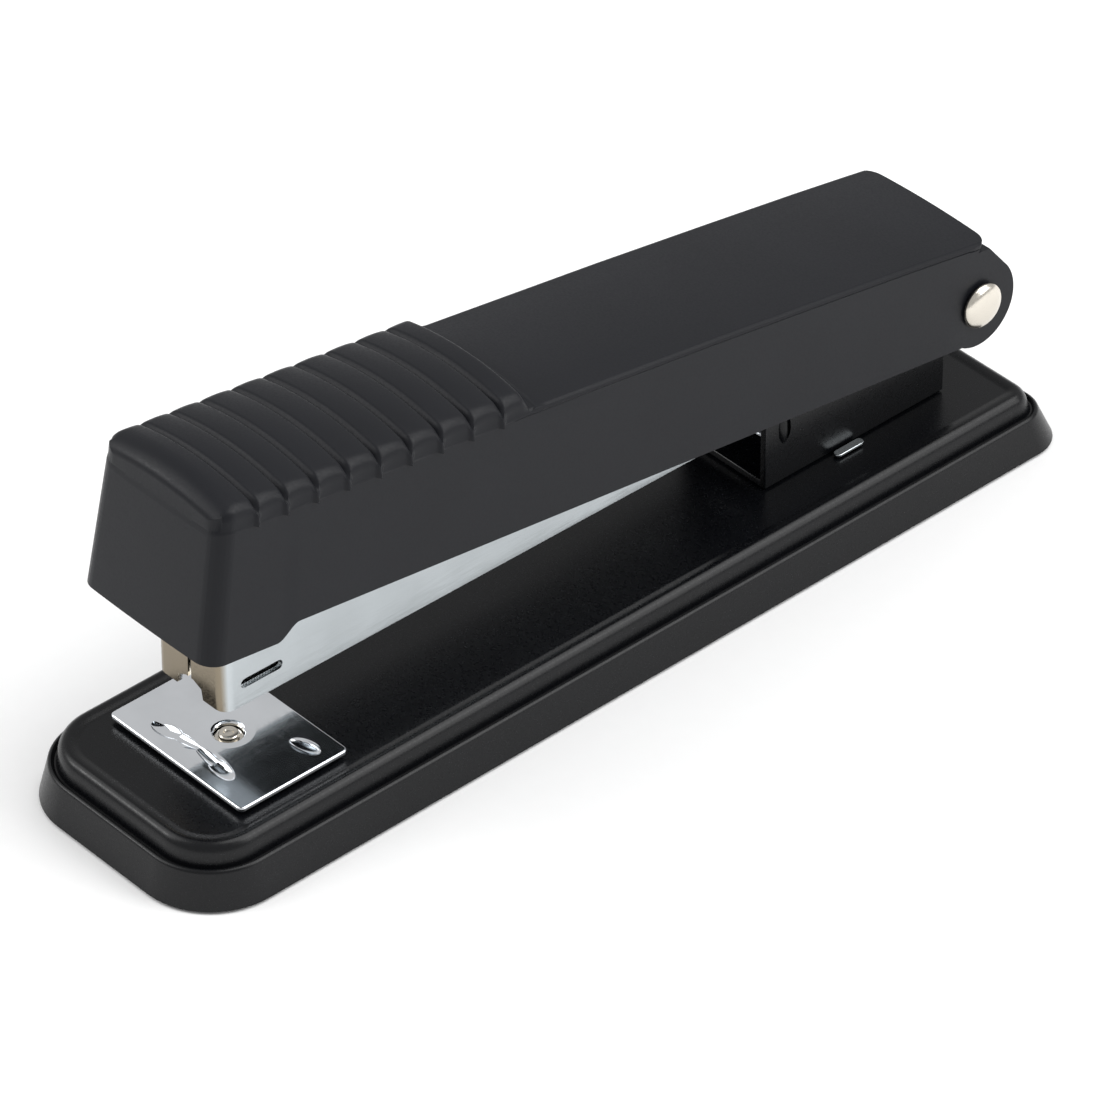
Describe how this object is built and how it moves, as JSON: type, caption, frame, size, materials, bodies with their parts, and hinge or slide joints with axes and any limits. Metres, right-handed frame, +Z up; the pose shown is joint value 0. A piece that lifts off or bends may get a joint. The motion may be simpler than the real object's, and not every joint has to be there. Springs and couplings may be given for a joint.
{
  "type": "desktop stapler",
  "caption": "Full-strip desktop stapler: ribbed cover and frame over a hinged magazine with lid, pusher and driver, on a long base with a turning anvil plate.",
  "frame": {"origin": "on the table, under the middle of the base's outline", "axes": "+Z up; +Y along the stapler from the nose to the hinge; +X across it, so the hinge pin lies along X"},
  "size_m": [0.0458, 0.1782, 0.0652],
  "materials": {
    "black_paint": "stoved satin black paint on pressed steel, slight gloss on the rounded ridge",
    "black_rubber": "matte non-slip sheet",
    "charcoal_plastic": "satin moulded charcoal plastic with a very fine grain",
    "black_nylon": "moulded nylon, semi-matte",
    "chrome": "bright plated steel sheet",
    "satin_nickel": "tumbled satin nickel plate, faintly warm",
    "zinc_plate": "bright zinc plate on pressed steel",
    "spring_steel": "hardened spring steel, smooth and grey",
    "staple_wire": "galvanised staple wire, cohered in a strip"
  },
  "bodies": {
    "base": {"base_pan": "black_paint", "base_pad": "black_rubber", "hinge_bracket": "black_paint", "bracket_rivet_front": "zinc_plate", "bracket_rivet_rear": "zinc_plate", "staking_tab_left": "zinc_plate", "staking_tab_right": "zinc_plate", "return_spring": "spring_steel", "anvil_spring": "spring_steel"},
    "spindle": {"anvil_spindle": "satin_nickel", "anvil_button": "black_nylon"},
    "anvil": {"anvil_plate": "chrome"},
    "pin": {"hinge_pin": "satin_nickel", "pin_cap": "satin_nickel"},
    "magazine": {"magazine_channel": "chrome", "staple_rail": "zinc_plate", "rear_stop": "zinc_plate", "guide_rod": "zinc_plate", "staple_strip": "staple_wire", "pusher_spring": "spring_steel"},
    "pusher": {"pusher_block": "zinc_plate"},
    "lid": {"magazine_lid": "zinc_plate", "handle_spring": "spring_steel", "spring_rivet": "zinc_plate"},
    "handle": {"top_cover": "charcoal_plastic", "handle_frame": "zinc_plate", "driver_blade": "spring_steel", "driver_rivet_left": "zinc_plate", "driver_rivet_right": "zinc_plate", "cover_screw_front": "zinc_plate", "cover_screw_rear": "zinc_plate"}
  },
  "joints": [
    {"name": "magazine_press", "type": "hinge", "parent": "base", "child": "pin", "pos_m": [0, 0.07645, 0.0277], "axis": [1, 0, 0], "range_deg": [0, 4.2], "stiffness_Nm_per_rad": 3, "springref_deg": -6.88, "deforming": ["return_spring"]},
    {"name": "magazine_open", "type": "hinge", "parent": "pin", "child": "magazine", "pos_m": [0, 0.07645, 0.0277], "axis": [1, 0, 0], "range_deg": [-110, 0]},
    {"name": "lid_open", "type": "hinge", "parent": "magazine", "child": "lid", "pos_m": [0, 0.07645, 0.0277], "axis": [1, 0, 0], "range_deg": [-60, 0]},
    {"name": "handle_press", "type": "hinge", "parent": "lid", "child": "handle", "pos_m": [0, 0.07645, 0.0277], "axis": [1, 0, 0], "range_deg": [0, 3.55], "stiffness_Nm_per_rad": 3, "springref_deg": -8.59, "deforming": ["handle_spring"]},
    {"name": "pusher_slide", "type": "slide", "parent": "magazine", "child": "pusher", "axis": [0, 1, -0.0096], "range_m": [0, 0.073], "stiffness_N_per_m": 25, "springref_m": -0.05, "deforming": ["pusher_spring"]},
    {"name": "anvil_lift", "type": "slide", "parent": "base", "child": "spindle", "axis": [0, 0, -1], "range_m": [-0.0012, 0], "stiffness_N_per_m": 400, "springref_m": 0.003, "deforming": ["anvil_spring"]},
    {"name": "anvil_turn", "type": "hinge", "parent": "spindle", "child": "anvil", "pos_m": [0, -0.06455, 0.0114], "axis": [0, 0, 1], "range_deg": [0, 180]}
  ]
}
